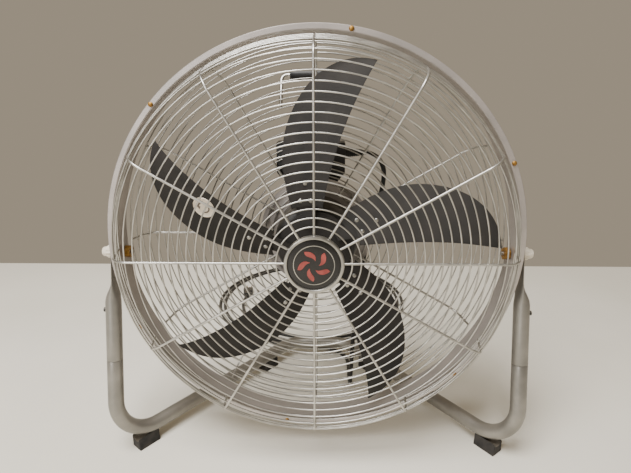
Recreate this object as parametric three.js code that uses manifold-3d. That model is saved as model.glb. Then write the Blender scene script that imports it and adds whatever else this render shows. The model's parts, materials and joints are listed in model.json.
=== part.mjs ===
// A floor fan: a drum head of wire guards on a sheet hoop, hung in a bent tube stand.
// Millimetres, +Z up. The fan's axis is Y and the air leaves towards -Y. The stand's feet rest on z = 0.
import * as THREE from "three";
import { mergeVertices } from "three/addons/utils/BufferGeometryUtils.js";
import Module from "manifold-3d";

const wasm = await Module();
wasm.setup();

// Driving dimensions
const PIVOT_Z = 303; // height of the tilt axis
const PIVOT_BACK = 20; // from the blades back to the tilt axis
const PIVOT_DROP = 13; // from the fan's axis down to the tilt axis
const GAP = 0.4; // left between pieces that touch
const HOOP_RADIUS = 279; // over the front flange
const BAND_RADIUS = 271.5; // inside of the sheet band
const SHEET = 1.5;
const HOOP_FRONT = -9;
const HOOP_BACK = 34;
const GUARD_RIM = 266.5;
const GUARD_WIRE = 1.8; // radius of a guard's wire
const SPOKE_WIRE = 2.1; // radius of a guard's spoke
const FRONT_HUB = 36;
const FRONT_FACE = -60.5;
const REAR_HUB = 66;
const REAR_FACE = 72;
const SPOKES = 12;
const BLADES = 5;
const BLADE_ROOT = 60;
const BLADE_TIP = 250;
const MOTOR_RADIUS = 58;
const SHAFT_RADIUS = 6;
const TUBE_RADIUS = 11;
const TUBE_Z = 25; // centre of the stand's floor tubes
const STAND_X = 290; // centre of each upright
const STAND_FRONT = -66;
const STAND_BACK = 231;
const CROSSBAR_HALF = 57;
const SEAM = 158; // from the pivot down to the joint in each upright
const PLATE_X = 286; // middle of the flattened tube end
const BOLT_RADIUS = 3; // of each pivot bolt
const CORD_RADIUS = 3.5;
const CORD_Z = 3.8; // centre of the cord where it lies on the floor

const SILVER = { color: 0x9a9a96, roughness: 0.4, metalness: 0.8 };
const WIRE = { color: 0xb4b4b0, roughness: 0.35, metalness: 0.9 };
const CHARCOAL = { color: 0x35312f, roughness: 0.6, metalness: 0.2 };
const BLACK = { color: 0x151515, roughness: 0.6, metalness: 0 };
const RUBBER = { color: 0x1c1b1a, roughness: 0.9, metalness: 0 };
const STEEL = { color: 0x8c8c88, roughness: 0.35, metalness: 1 };
const BRASS = { color: 0xb08a48, roughness: 0.4, metalness: 1 };
const CREAM = { color: 0xd8d2c4, roughness: 0.5, metalness: 0 };

const v3 = (x, y, z) => new THREE.Vector3(x, y, z);

// A closed geometry as a solid that can be joined and cut, and back again.
function solidOf(geometry) {
  const loose = geometry.index ? geometry.toNonIndexed() : geometry.clone();
  loose.deleteAttribute("normal");
  loose.deleteAttribute("uv");
  const merged = mergeVertices(loose, 1e-4);
  return new wasm.Manifold(
    new wasm.Mesh({
      numProp: 3,
      vertProperties: merged.attributes.position.array,
      triVerts: new Uint32Array(merged.index.array),
    }),
  );
}

function geometryOf(solid) {
  const mesh = solid.getMesh();
  const geometry = new THREE.BufferGeometry();
  geometry.setAttribute("position", new THREE.BufferAttribute(mesh.vertProperties, 3));
  geometry.setIndex(new THREE.BufferAttribute(mesh.triVerts, 1));
  geometry.computeVertexNormals();
  return geometry;
}

function joined(geometries) {
  return geometryOf(geometries.map(solidOf).reduce((whole, next) => whole.add(next)));
}

function cut(geometry, tools) {
  return geometryOf(tools.map(solidOf).reduce((whole, tool) => whole.subtract(tool), solidOf(geometry)));
}

// A closed profile of [radius, y] pairs turned about the Y axis.
function turned(profile, segments = 32) {
  const points = profile.map(([r, y]) => new THREE.Vector2(r, y));
  if (THREE.ShapeUtils.area(points) < 0) points.reverse();
  const onAxis = points.findIndex((p, i) => p.x === 0 && points[(i + points.length - 1) % points.length].x === 0);
  const ordered = onAxis < 0 ? [...points, points[0]] : [...points.slice(onAxis), ...points.slice(0, onAxis)];
  return new THREE.LatheGeometry(ordered, segments);
}

// A ring with a rectangular section.
const ring = (inner, outer, y0, y1, segments) =>
  turned([[inner, y0], [outer, y0], [outer, y1], [inner, y1]], segments);

// A rod along Y at (x, z).
function rodY(radius, y0, y1, x = 0, z = 0, sides = 12) {
  return new THREE.CylinderGeometry(radius, radius, y1 - y0, sides).translate(x, (y0 + y1) / 2, z);
}

function rodX(radius, x0, x1, sides = 12) {
  return new THREE.CylinderGeometry(radius, radius, x1 - x0, sides)
    .rotateZ(Math.PI / 2)
    .translate((x0 + x1) / 2, 0, 0);
}

function box(x0, x1, y0, y1, z0, z1) {
  return new THREE.BoxGeometry(x1 - x0, y1 - y0, z1 - z0)
    .translate((x0 + x1) / 2, (y0 + y1) / 2, (z0 + z1) / 2);
}

// An outline of [x, z] pairs drawn out from y0 to y1.
function prismY(outline, y0, y1) {
  const shape = new THREE.Shape(outline.map(([x, z]) => new THREE.Vector2(x, z)));
  return new THREE.ExtrudeGeometry(shape, { depth: y1 - y0, bevelEnabled: false })
    .rotateX(Math.PI / 2)
    .translate(0, y1, 0);
}

// A round section drawn along a path.
function tube(path, radius, steps, sides = 10) {
  const section = new THREE.Shape();
  for (let i = 0; i < sides; i++) {
    const angle = (2 * Math.PI * (i + 0.5)) / sides;
    section[i ? "lineTo" : "moveTo"](radius * Math.cos(angle), radius * Math.sin(angle));
  }
  section.closePath();
  return new THREE.ExtrudeGeometry(section, { steps, bevelEnabled: false, extrudePath: path });
}

// Straight runs between corners, with an arc of its own radius at each inner corner.
function bentPath(corners, radii) {
  const path = new THREE.CurvePath();
  let from = corners[0];
  for (let i = 1; i < corners.length - 1; i++) {
    const into = corners[i].clone().sub(corners[i - 1]).normalize();
    const out = corners[i + 1].clone().sub(corners[i]).normalize();
    const turn = into.angleTo(out);
    const tangent = radii[i - 1] * Math.tan(turn / 2);
    const handle = (4 / 3) * Math.tan(turn / 4) * radii[i - 1];
    const start = corners[i].clone().addScaledVector(into, -tangent);
    const end = corners[i].clone().addScaledVector(out, tangent);
    path.add(new THREE.LineCurve3(from, start));
    const first = start.clone().addScaledVector(into, handle);
    const second = end.clone().addScaledVector(out, -handle);
    path.add(new THREE.CubicBezierCurve3(start, first, second, end));
    from = end;
  }
  path.add(new THREE.LineCurve3(from, corners[corners.length - 1]));
  return path;
}

// A thin plate over a surface point(u, v), u and v from 0 to 1, with its thickness along Y.
function plate(point, across, along, thickness) {
  const positions = [];
  for (const side of [-thickness / 2, thickness / 2])
    for (let j = 0; j <= along; j++)
      for (let i = 0; i <= across; i++) {
        const p = point(i / across, j / along);
        positions.push(p.x, p.y + side, p.z);
      }
  const row = across + 1;
  const layer = row * (along + 1);
  const index = [];
  const quad = (a, b, c, d) => index.push(a, c, b, a, d, c);
  for (let j = 0; j < along; j++)
    for (let i = 0; i < across; i++) {
      const a = j * row + i;
      quad(a, a + 1, a + row + 1, a + row);
      quad(layer + a, layer + a + row, layer + a + row + 1, layer + a + 1);
    }
  for (let i = 0; i < across; i++) {
    const top = along * row + i;
    quad(i, layer + i, layer + i + 1, i + 1);
    quad(top, top + 1, layer + top + 1, layer + top);
  }
  for (let j = 0; j < along; j++) {
    const left = j * row;
    const right = left + across;
    quad(left, left + row, layer + left + row, layer + left);
    quad(right, layer + right, layer + right + row, right + row);
  }
  const geometry = new THREE.BufferGeometry();
  geometry.setAttribute("position", new THREE.Float32BufferAttribute(positions, 3));
  geometry.setIndex(index);
  geometry.computeVertexNormals();
  return geometry;
}

function mesh(name, geometry, look) {
  const made = new THREE.Mesh(geometry, new THREE.MeshStandardMaterial(look));
  made.name = name;
  return made;
}

const object = new THREE.Group();
const stand = new THREE.Group();
const head = new THREE.Group();
head.position.set(0, -PIVOT_BACK, PIVOT_Z + PIVOT_DROP);
object.add(stand, head);

// Stand: one bent tube on the floor, and an upper tube on each side with a flattened end for the pivot
const uprightStep = v3(0, STAND_FRONT, TUBE_Z - PIVOT_Z).normalize();
const onUpright = (side, distance) =>
  v3(side * STAND_X, 0, PIVOT_Z).addScaledVector(uprightStep, distance);
const floorPath = bentPath(
  [
    onUpright(-1, SEAM),
    v3(-STAND_X, STAND_FRONT, TUBE_Z),
    v3(-CROSSBAR_HALF, STAND_BACK, TUBE_Z),
    v3(CROSSBAR_HALF, STAND_BACK, TUBE_Z),
    v3(STAND_X, STAND_FRONT, TUBE_Z),
    onUpright(1, SEAM),
  ],
  [55, 55, 55, 55],
);
stand.add(mesh("base_tube", tube(floorPath, TUBE_RADIUS, 44, 10), SILVER));

for (const [side, word] of [[-1, "left"], [1, "right"]]) {
  const upper = new THREE.LineCurve3(onUpright(side, 45), onUpright(side, SEAM - GAP));
  const flat = box(-2, 2, -12, 12, -62, 13)
    .rotateX(Math.atan2(STAND_FRONT, PIVOT_Z - TUBE_Z))
    .translate(side * PLATE_X, 0, PIVOT_Z);
  const hole = rodX(BOLT_RADIUS + GAP, -6, 6, 12).translate(side * PLATE_X, 0, PIVOT_Z);
  stand.add(mesh(word + "_upright", cut(joined([tube(upper, TUBE_RADIUS, 1, 10), flat]), [hole]), SILVER));
  const screw = rodX(3.4, 0, 2.4).translate(0, 0, 0);
  const at = onUpright(side, 84);
  screw.translate(side > 0 ? at.x + TUBE_RADIUS : at.x - TUBE_RADIUS - 2.4, at.y, at.z);
  stand.add(mesh(word + "_upright_screw", cut(screw, [tube(upper, TUBE_RADIUS + GAP, 1, 10)]), BLACK));
}

// Rubber feet, each with a saddle for the tube that rests in it
const clearTube = tube(floorPath, TUBE_RADIUS + GAP, 44, 10);
const diagonal = v3(STAND_X - CROSSBAR_HALF, STAND_FRONT - STAND_BACK, 0).normalize();
for (const [side, word] of [[-1, "left"], [1, "right"]])
  for (const [place, distance] of [["front", 45], ["rear", 310]]) {
    const block = box(-17, 17, -9, 9, 0, 22)
      .rotateZ(Math.atan2(diagonal.y, side * diagonal.x))
      .translate(
        side * (STAND_X - distance * diagonal.x),
        STAND_FRONT - distance * diagonal.y,
        0,
      );
    stand.add(mesh(place + "_" + word + "_foot", cut(block, [clearTube]), RUBBER));
  }

// Hoop: a sheet band with a flange at the front and a bead at the back
const rimAngles = [25, 81, 137, 205, 261, 317].map(THREE.MathUtils.degToRad);
const RIM_SCREW_RADIUS = 275.6;
const hoopProfile = [
  [BAND_RADIUS, HOOP_FRONT],
  [HOOP_RADIUS, HOOP_FRONT],
  [HOOP_RADIUS, HOOP_FRONT + SHEET],
  [BAND_RADIUS + SHEET, HOOP_FRONT + SHEET],
  [BAND_RADIUS + SHEET, HOOP_BACK - 3],
  [BAND_RADIUS + 4, HOOP_BACK - 3],
  [BAND_RADIUS + 4, HOOP_BACK],
  [BAND_RADIUS, HOOP_BACK],
];
const onCircle = (radius, angle) => [radius * Math.cos(angle), radius * Math.sin(angle)];
const rimHoles = rimAngles.map((angle) => {
  const [x, z] = onCircle(RIM_SCREW_RADIUS, angle);
  return rodY(2, HOOP_FRONT - 1, HOOP_FRONT + 3, x, z, 8);
});
const pivotHoles = rodX(BOLT_RADIUS + GAP, -HOOP_RADIUS - 4, HOOP_RADIUS + 4, 12)
  .translate(0, PIVOT_BACK, -PIVOT_DROP);
head.add(mesh("hoop", cut(turned(hoopProfile, 44), [...rimHoles, pivotHoles]), SILVER));
rimAngles.forEach((angle, i) => {
  const [x, z] = onCircle(RIM_SCREW_RADIUS, angle);
  const cap = rodY(3.2, HOOP_FRONT - 2.4, HOOP_FRONT - GAP, x, z, 10);
  const shank = rodY(1.6, HOOP_FRONT - 1, HOOP_FRONT + 5, x, z, 8);
  head.add(mesh("rim_screw_" + (i + 1), joined([cap, shank]), BRASS));
});

// Guards: rings of wire crossed by spokes that bend over to the rim
function wireRing(radius, y) {
  return new THREE.TorusGeometry(radius, GUARD_WIRE, 4, 24).rotateX(Math.PI / 2).translate(0, y, 0);
}

function spoke(profile, angle) {
  const points = profile.map(([r, y]) => v3(r, y, 0));
  const path = new THREE.CurvePath();
  points.slice(1).forEach((p, i) => path.add(new THREE.LineCurve3(points[i], p)));
  return path.curves.map((run) => tube(run, SPOKE_WIRE, 1, 4).rotateY(-angle));
}

function guard(profile, ringPlaces) {
  const rings = ringPlaces.map(([r, y]) => wireRing(r, y));
  const spokes = [];
  for (let i = 0; i < SPOKES; i++) spokes.push(...spoke(profile, (2 * Math.PI * i) / SPOKES));
  return joined([...rings, ...spokes]);
}

const frontRim = [GUARD_RIM, HOOP_FRONT + GUARD_WIRE];
const frontProfile = [[FRONT_HUB, FRONT_FACE], [234, FRONT_FACE], [261, -32], frontRim];
const frontRings = [[FRONT_HUB, FRONT_FACE], [135, FRONT_FACE], [234, FRONT_FACE], frontRim];
head.add(mesh("front_guard", guard(frontProfile, frontRings), WIRE));
const rearRim = [GUARD_RIM, HOOP_BACK + 2];
const rearProfile = [[REAR_HUB, REAR_FACE], [241, REAR_FACE], [260, 56], rearRim];
const rearRings = [[REAR_HUB, REAR_FACE], [154, REAR_FACE], [241, REAR_FACE], rearRim];
head.add(mesh("rear_guard", guard(rearProfile, rearRings), WIRE));

// Hub badge: a trim ring round a plain disc
const BADGE_BACK = FRONT_FACE - 2.8;
const badgeDisc = [[0, BADGE_BACK - 3.2], [32, BADGE_BACK - 2.6], [32, BADGE_BACK], [0, BADGE_BACK]];
head.add(mesh("badge_ring", ring(32.4, 37.5, BADGE_BACK - 4.2, BADGE_BACK, 40), STEEL));
head.add(mesh("badge_disc", turned(badgeDisc, 40), BLACK));

// Pivots: a bracket on the band, a bolt through band and plate, a nut inside and a knob outside
for (const [side, word] of [[-1, "left"], [1, "right"]]) {
  const mirror = (x0, x1) => (side > 0 ? [x0, x1] : [-x1, -x0]);
  const onPivot = (geometry) => geometry.translate(0, PIVOT_BACK, -PIVOT_DROP);
  const hole = rodX(BOLT_RADIUS + GAP, ...mirror(250, 310), 12);
  const bracket = box(...mirror(273.5, 283.5), -14, 10.5, -12, 12);
  head.add(mesh(word + "_bracket", onPivot(cut(bracket, [hole])), SILVER));
  const nut = rodX(9, ...mirror(262, 269.8), 6);
  head.add(mesh(word + "_pivot_nut", onPivot(cut(nut, [hole])), BRASS));
  head.add(mesh(word + "_pivot_bolt", onPivot(rodX(BOLT_RADIUS, ...mirror(259, 299), 12)), STEEL));
  const knob = joined([rodX(9, ...mirror(288.6, 296), 16), rodX(7, ...mirror(295, 302), 16)]);
  const bore = rodX(BOLT_RADIUS + GAP, ...mirror(280, 299.6), 12);
  const placed = cut(knob, [bore]).translate(0, 0, PIVOT_Z);
  stand.add(mesh(word + "_tilt_knob", placed, CREAM));
}

// Motor: two cups on either side of the plate behind the rear guard's centre
const PLATE_FRONT = REAR_FACE + SPOKE_WIRE + GAP;
const PLATE_BACK = PLATE_FRONT + 2;
const MOTOR_FRONT = 20;
const MOTOR_BACK = 112;
const WALL = 2;
const BEARING = 14;
const frontCup = [
  [BEARING + GAP, MOTOR_FRONT],
  [MOTOR_RADIUS - 8, MOTOR_FRONT],
  [MOTOR_RADIUS, MOTOR_FRONT + 8],
  [MOTOR_RADIUS, PLATE_FRONT - GAP],
  [MOTOR_RADIUS - WALL, PLATE_FRONT - GAP],
  [MOTOR_RADIUS - WALL, MOTOR_FRONT + 9],
  [MOTOR_RADIUS - 9, MOTOR_FRONT + WALL],
  [BEARING + GAP, MOTOR_FRONT + WALL],
];
const rearCup = [
  [0, MOTOR_BACK],
  [MOTOR_RADIUS - 8, MOTOR_BACK],
  [MOTOR_RADIUS, MOTOR_BACK - 8],
  [MOTOR_RADIUS, PLATE_BACK + GAP],
  [MOTOR_RADIUS - WALL, PLATE_BACK + GAP],
  [MOTOR_RADIUS - WALL, MOTOR_BACK - 9],
  [MOTOR_RADIUS - 9, MOTOR_BACK - WALL],
  [BEARING + 3, MOTOR_BACK - WALL],
  [BEARING + 3, MOTOR_BACK - 12],
  [BEARING + GAP, MOTOR_BACK - 12],
  [BEARING + GAP, MOTOR_BACK - WALL],
  [0, MOTOR_BACK - WALL],
];
head.add(mesh("motor_front_shell", turned(frontCup), BLACK));
head.add(mesh("motor_rear_shell", turned(rearCup), BLACK));
head.add(mesh("front_bearing", ring(SHAFT_RADIUS + GAP, BEARING, MOTOR_FRONT - 1, MOTOR_FRONT + 7, 20), STEEL));
head.add(mesh("rear_bearing", ring(SHAFT_RADIUS + GAP, BEARING, MOTOR_BACK - 11, MOTOR_BACK - 3, 20), STEEL));
head.add(mesh("stator", ring(26, 55, 32, 62, 24), STEEL));
const MOTOR_SCREW_RADIUS = 75;
const motorScrewAngles = [45, 165, 285].map(THREE.MathUtils.degToRad);
const motorHoles = motorScrewAngles.map((angle) => {
  const [x, z] = onCircle(MOTOR_SCREW_RADIUS, angle);
  return rodY(2.8, PLATE_FRONT - 1, PLATE_BACK + 1, x, z, 8);
});
head.add(mesh("motor_plate", cut(ring(45, 84, PLATE_FRONT, PLATE_BACK, 40), motorHoles), SILVER));
motorScrewAngles.forEach((angle, i) => {
  const [x, z] = onCircle(MOTOR_SCREW_RADIUS, angle);
  const cap = rodY(4.5, PLATE_BACK + GAP, PLATE_BACK + 4, x, z, 10);
  const shank = rodY(2.3, PLATE_FRONT - 6, PLATE_BACK + 1, x, z, 8);
  head.add(mesh("motor_screw_" + (i + 1), joined([cap, shank]), STEEL));
});

// Switch box behind the guard, above the motor
const BOX_FRONT = PLATE_BACK + GAP;
const BOX_BACK = 108;
const boxOutline = (inset) => [
  [-38 + inset * 0.5, 66 + inset],
  [22 - inset * 0.5, 66 + inset],
  [42 - inset, 90],
  [42 - inset, 134 - inset],
  [-58 + inset, 134 - inset],
  [-58 + inset, 90],
];
const SWITCH_X = -8;
const SWITCH_Z = 110;
const switchShell = prismY(boxOutline(0), BOX_FRONT, BOX_BACK);
const switchHollow = prismY(boxOutline(WALL), BOX_FRONT + WALL, BOX_BACK + 1);
head.add(mesh("switch_box", cut(switchShell, [switchHollow]), BLACK));
const stemHole = rodY(4.6, BOX_BACK - 1, BOX_BACK + 5, SWITCH_X, SWITCH_Z);
head.add(mesh("switch_box_lid", cut(prismY(boxOutline(0), BOX_BACK + GAP, BOX_BACK + 2.6), [stemHole]), BLACK));
const switchBody = box(SWITCH_X - 12, SWITCH_X + 12, BOX_BACK - 20, BOX_BACK - 2, SWITCH_Z - 12, SWITCH_Z + 12);
const stem = rodY(4, BOX_BACK - 6, BOX_BACK + 9, SWITCH_X, SWITCH_Z);
head.add(mesh("rotary_switch", joined([switchBody, stem]), BLACK));
head.add(mesh("capacitor", box(-50, -28, BOX_BACK - 22, BOX_BACK - 6, 92, 126), STEEL));
const knobBody = joined([
  rodY(17, BOX_BACK + 3.2, BOX_BACK + 8, SWITCH_X, SWITCH_Z, 24),
  rodY(14, BOX_BACK + 7, BOX_BACK + 19, SWITCH_X, SWITCH_Z, 24),
]);
const knobBore = rodY(4.4, BOX_BACK + 2, BOX_BACK + 9.6, SWITCH_X, SWITCH_Z);
head.add(mesh("speed_knob", cut(knobBody, [knobBore]), BLACK));

// Handle: a wire bow on the rear guard with a grip round its middle
const HANDLE_Y = 106;
const HANDLE_Z = 227;
const handlePath = bentPath(
  [v3(-50, 77, 183), v3(-50, HANDLE_Y, HANDLE_Z), v3(50, HANDLE_Y, HANDLE_Z), v3(50, 77, 183)],
  [9, 9],
);
head.add(mesh("handle_bow", tube(handlePath, 2.6, 24, 8), WIRE));
const grip = rodX(8, -38, 38, 16).translate(0, HANDLE_Y, HANDLE_Z);
const gripBore = rodX(3.1, -44, 44, 10).translate(0, HANDLE_Y, HANDLE_Z);
head.add(mesh("handle_grip", cut(grip, [gripBore]), BLACK));

// Cord: out of a gland on the box, down behind the head, then under the crossbar to a loose coil
const glandProfile = [[0, 0], [9, 0], [9, 6], [6.5, 7], [4.6, 26], [0, 26]];
const gland = turned(glandProfile, 16).rotateZ(-Math.PI / 2).translate(42 + GAP, 94, 118);
head.add(mesh("cord_gland", gland, BLACK));
const JUNCTION_Y = 100; // from the pivot, where the cord runs radially
const JUNCTION_Z = -267.4;
const dropPoints = [
  [68.8, 94, 118],
  [78, 94, 117],
  [92, 95, 109],
  [100, 96, 94],
  [101, 98, 76],
  [98, 100, 55],
  [92, 102, 30],
  [85, 103, 0],
  [78, 103, -35],
  [72, 101, -75],
  [67, 98, -115],
  [64, 96, -155],
  [61, 96, -190],
  [60, 100, -222],
  [60, PIVOT_BACK + 0.9 * JUNCTION_Y, 0.9 * JUNCTION_Z - PIVOT_DROP],
  [60, PIVOT_BACK + JUNCTION_Y, JUNCTION_Z - PIVOT_DROP],
].map(([x, y, z]) => v3(x, y, z));
const dropPath = new THREE.CatmullRomCurve3(dropPoints, false, "centripetal");
head.add(mesh("cord_drop", tube(dropPath, CORD_RADIUS, 20, 8), BLACK));

const COIL_X = -20; // centre of the coil
const COIL_Y = 495;
const COIL_RADIUS = 243;
const TURNS = 2.25;
const floorPoints = [
  [60, JUNCTION_Y + 0.2, PIVOT_Z + JUNCTION_Z - 0.5],
  [60, 103, 27.5],
  [60, 108, 17],
  [60, 117, 8.5],
  [60, 129, 4.3],
  [60, 142, CORD_Z],
  [60, 165, CORD_Z],
  [60, 185, CORD_Z],
].map(([x, y, z]) => v3(x, y, z));
for (let i = 1; i < 5; i++) {
  const angle = (Math.PI / 2) * (i / 5);
  floorPoints.push(v3(COIL_X + 80 * Math.cos(angle), 190 + 62 * Math.sin(angle), CORD_Z));
}
const STEPS_PER_TURN = 20;
for (let i = 0; i <= TURNS * STEPS_PER_TURN; i++) {
  const turn = i / STEPS_PER_TURN;
  const radius = COIL_RADIUS - 12 * turn - 160 * Math.max(0, turn - 1.75) ** 2;
  const angle = -Math.PI / 2 - 2 * Math.PI * turn;
  const lift = 5 * THREE.MathUtils.smoothstep(turn, 2.1, 2.24);
  floorPoints.push(
    v3(COIL_X + radius * Math.cos(angle), COIL_Y + radius * Math.sin(angle), CORD_Z + lift),
  );
}
const floorCordPath = new THREE.CatmullRomCurve3(floorPoints, false, "centripetal");
stand.add(mesh("cord_floor", tube(floorCordPath, CORD_RADIUS, 84, 8), BLACK));

// Plug at the inner end of the coil, along the way that the cord arrives
const plug = new THREE.Group();
const plugAt = floorCordPath.getPoint(1);
const plugWay = floorCordPath.getTangent(1);
plug.position.copy(plugAt);
plug.rotation.z = Math.atan2(plugWay.y, plugWay.x);
stand.add(plug);
const BACK = GAP + 0.2;
const plugOutline = [[BACK, -5], [16, -7], [24, -12], [38, -12], [38, 12], [24, 12], [16, 7], [BACK, 5]];
const plugShape = new THREE.Shape(plugOutline.map(([x, y]) => new THREE.Vector2(x, y)));
const plugBody = new THREE.ExtrudeGeometry(plugShape, { depth: 15, bevelEnabled: false }).translate(0, 0, -8);
plug.add(mesh("plug_body", plugBody, BLACK));
plug.add(mesh("plug_blade_left", box(38.3, 55, 5.6, 7.1, -1.5, 4.8), BRASS));
plug.add(mesh("plug_blade_right", box(38.3, 55, -7.1, -5.6, -1.5, 4.8), BRASS));
plug.add(mesh("plug_ground_pin", rodX(2.3, 38.3, 59, 10).translate(0, 0, -3.4), BRASS));

// Rotor: shaft, core, collar, and a pressed spider that carries the blades
const radian = THREE.MathUtils.degToRad;
head.add(mesh("shaft", rodY(SHAFT_RADIUS, -14, MOTOR_BACK - 4, 0, 0, 20), STEEL));
head.add(mesh("rotor_core", ring(SHAFT_RADIUS + GAP, 25.2, 33, 55, 24), STEEL));
head.add(mesh("hub_collar", ring(SHAFT_RADIUS + GAP, 15, -11, 1.2, 24), STEEL));

// A point on a blade. s runs from root to tip and u from the inner curve to the outer curve.
function bladePoint(s, u, shrink = 1) {
  const radius = THREE.MathUtils.lerp(BLADE_ROOT, BLADE_TIP, s);
  const full = 44 + 32 * Math.sin((Math.PI / 2) * Math.min(1, Math.max(0, s) / 0.6));
  const width = full * Math.sqrt(Math.max(0.0002, 1 - Math.max(0, s) ** 6)) * shrink;
  const middle = radian(80.5 - 8 * Math.max(0, s) ** 1.5) + (full * 0.5 * (width / full / shrink)) / radius;
  const angle = middle + ((u - 0.5) * width) / radius;
  const pitch = radian(33 - 13 * s);
  const camber = 5 * (0.25 - (u - 0.5) ** 2);
  const y = (u - 0.5) * width * Math.tan(pitch) - camber;
  return v3(radius * Math.cos(angle), y, radius * Math.sin(angle));
}

const BLADE_SHEET = 1.3;
const arms = [];
for (let i = 0; i < BLADES; i++) {
  const turn = (2 * Math.PI * i) / BLADES;
  const surface = (u, v) => bladePoint(Math.sin((Math.PI / 2) * v), u);
  const blade = plate(surface, 4, 10, BLADE_SHEET).rotateY(turn);
  head.add(mesh("blade_" + (i + 1), blade, CHARCOAL));
  const armSurface = (u, v) => {
    const p = bladePoint(-0.14 + 0.36 * v, u, 0.62);
    p.y += 2.4;
    return p;
  };
  arms.push(plate(armSurface, 3, 4, BLADE_SHEET).rotateY(turn));
}
const spiderDisc = ring(SHAFT_RADIUS + GAP, 50, 1.8, 3.6, 40);
head.add(mesh("blade_spider", joined([spiderDisc, ...arms]), CHARCOAL));

// The origin is under the middle of the box round stand and head, the cord and plug left out.
const loosePieces = /^(cord_drop|cord_floor|plug_.*)$/;
object.updateMatrixWorld(true);
const whole = new THREE.Box3();
object.traverse((piece) => {
  if (piece.isMesh && !loosePieces.test(piece.name)) whole.expandByObject(piece, true);
});
const middle = whole.getCenter(v3(0, 0, 0));
object.position.set(-middle.x, -middle.y, -whole.min.z);

export default object;
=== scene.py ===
# %% [markdown]
# # A tilting floor fan
# The real fan is a drum: a sheet hoop closed by two welded wire guards, hung in a stand of bent tube. The packed
# model already holds every part at its true place, so this lesson gives each one its fine shape and its finish.
# Everything is measured from the middle of the blades, because most of the fan is round about the axis there.

# %% Load the frame
import json
import math

import bmesh
import bpy
from mathutils import Matrix, Vector
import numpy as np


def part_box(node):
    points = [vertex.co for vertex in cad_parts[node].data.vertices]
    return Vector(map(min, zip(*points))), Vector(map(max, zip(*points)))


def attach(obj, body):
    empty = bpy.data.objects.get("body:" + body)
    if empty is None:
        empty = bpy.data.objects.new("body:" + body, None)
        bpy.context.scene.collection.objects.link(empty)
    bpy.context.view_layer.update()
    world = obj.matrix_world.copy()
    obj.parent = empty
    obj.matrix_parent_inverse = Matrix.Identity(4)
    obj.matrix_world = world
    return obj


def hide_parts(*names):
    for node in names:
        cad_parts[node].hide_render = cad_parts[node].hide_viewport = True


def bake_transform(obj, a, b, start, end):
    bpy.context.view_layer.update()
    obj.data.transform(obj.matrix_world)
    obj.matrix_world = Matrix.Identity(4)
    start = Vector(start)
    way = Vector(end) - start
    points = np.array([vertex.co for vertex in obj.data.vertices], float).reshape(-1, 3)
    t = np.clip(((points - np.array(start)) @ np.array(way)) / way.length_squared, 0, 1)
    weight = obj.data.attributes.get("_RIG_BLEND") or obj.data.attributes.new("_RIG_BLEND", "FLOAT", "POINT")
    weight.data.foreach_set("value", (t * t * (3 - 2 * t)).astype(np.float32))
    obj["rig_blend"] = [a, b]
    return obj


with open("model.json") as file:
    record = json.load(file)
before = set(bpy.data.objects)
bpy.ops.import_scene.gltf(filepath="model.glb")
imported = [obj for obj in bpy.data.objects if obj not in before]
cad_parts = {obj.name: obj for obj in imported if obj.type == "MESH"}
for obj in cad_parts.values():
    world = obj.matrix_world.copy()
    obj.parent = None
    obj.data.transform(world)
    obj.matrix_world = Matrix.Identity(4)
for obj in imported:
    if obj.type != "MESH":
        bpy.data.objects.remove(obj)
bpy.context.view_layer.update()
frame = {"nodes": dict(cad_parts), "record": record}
MM = 0.001
GAP = 0.4  # left between pieces that touch, in millimetres
JOINTS = {joint["name"]: joint for joint in frame["record"]["behaviour"]["joints"]}
CENTRE = Vector(JOINTS["blade_spin"]["pos_m"])
TILT = ((Vector(JOINTS["head_tilt"]["pos_m"]) - CENTRE) / MM).to_tuple(3)
print("centre", tuple(round(value, 4) for value in CENTRE), "tilt axis", TILT)


def at(x, y, z):
    """A point given in millimetres from the middle of the blades: right, back, up."""
    return CENTRE + Vector((x, y, z)) * MM


# %% [markdown]
# The camera stands a short way in front of the fan, above it and looking down, as a person crouching would. It is
# close, so the lens is wide and the near parts look large.

# %% Camera
camera_data = bpy.data.cameras.new("camera")
camera_data.lens = 25.67
camera_data.sensor_width = 36
camera = bpy.data.objects.new("camera", camera_data)
bpy.context.scene.collection.objects.link(camera)
look = Vector((-0.0229, 0.9553, -0.2948)).normalized()
up = Vector((-0.0047, 0.2947, 0.9556))
right = look.cross(up).normalized()
camera.matrix_world = Matrix.Translation(at(14.3, -579.7, 195.5)) @ Matrix(
    (right, right.cross(look), -look)
).transposed().to_4x4()
bpy.context.scene.camera = camera

# %% [markdown]
# Two small helpers build every material. Colours are written as the hex values a painter would pick, which are
# sRGB, and Blender works in linear light, so one function turns them. The other adds a node with its settings.

# %% Material helpers
def linear(colour):
    """An sRGB hex colour as linear RGBA."""
    parts = [int(colour[i : i + 2], 16) / 255 for i in (1, 3, 5)]
    return [p / 12.92 if p <= 0.04045 else ((p + 0.055) / 1.055) ** 2.4 for p in parts] + [1.0]


def add(tree, kind, inputs=None, **settings):
    """A new node with its settings. An input given a socket is linked, and one given a value is set."""
    made = tree.nodes.new(kind)
    for key, value in settings.items():
        setattr(made, key, value)
    for socket, value in (inputs or {}).items():
        if isinstance(value, bpy.types.NodeSocket):
            tree.links.new(value, made.inputs[socket])
        else:
            made.inputs[socket].default_value = value
    return made


# A mix node has one set of sockets for each kind of value, so its colour sockets are found by their order.
MIX_SHARE, MIX_UNDER, MIX_OVER, MIX_RESULT = 0, 6, 7, 2
DUST = "#b5a892"


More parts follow.
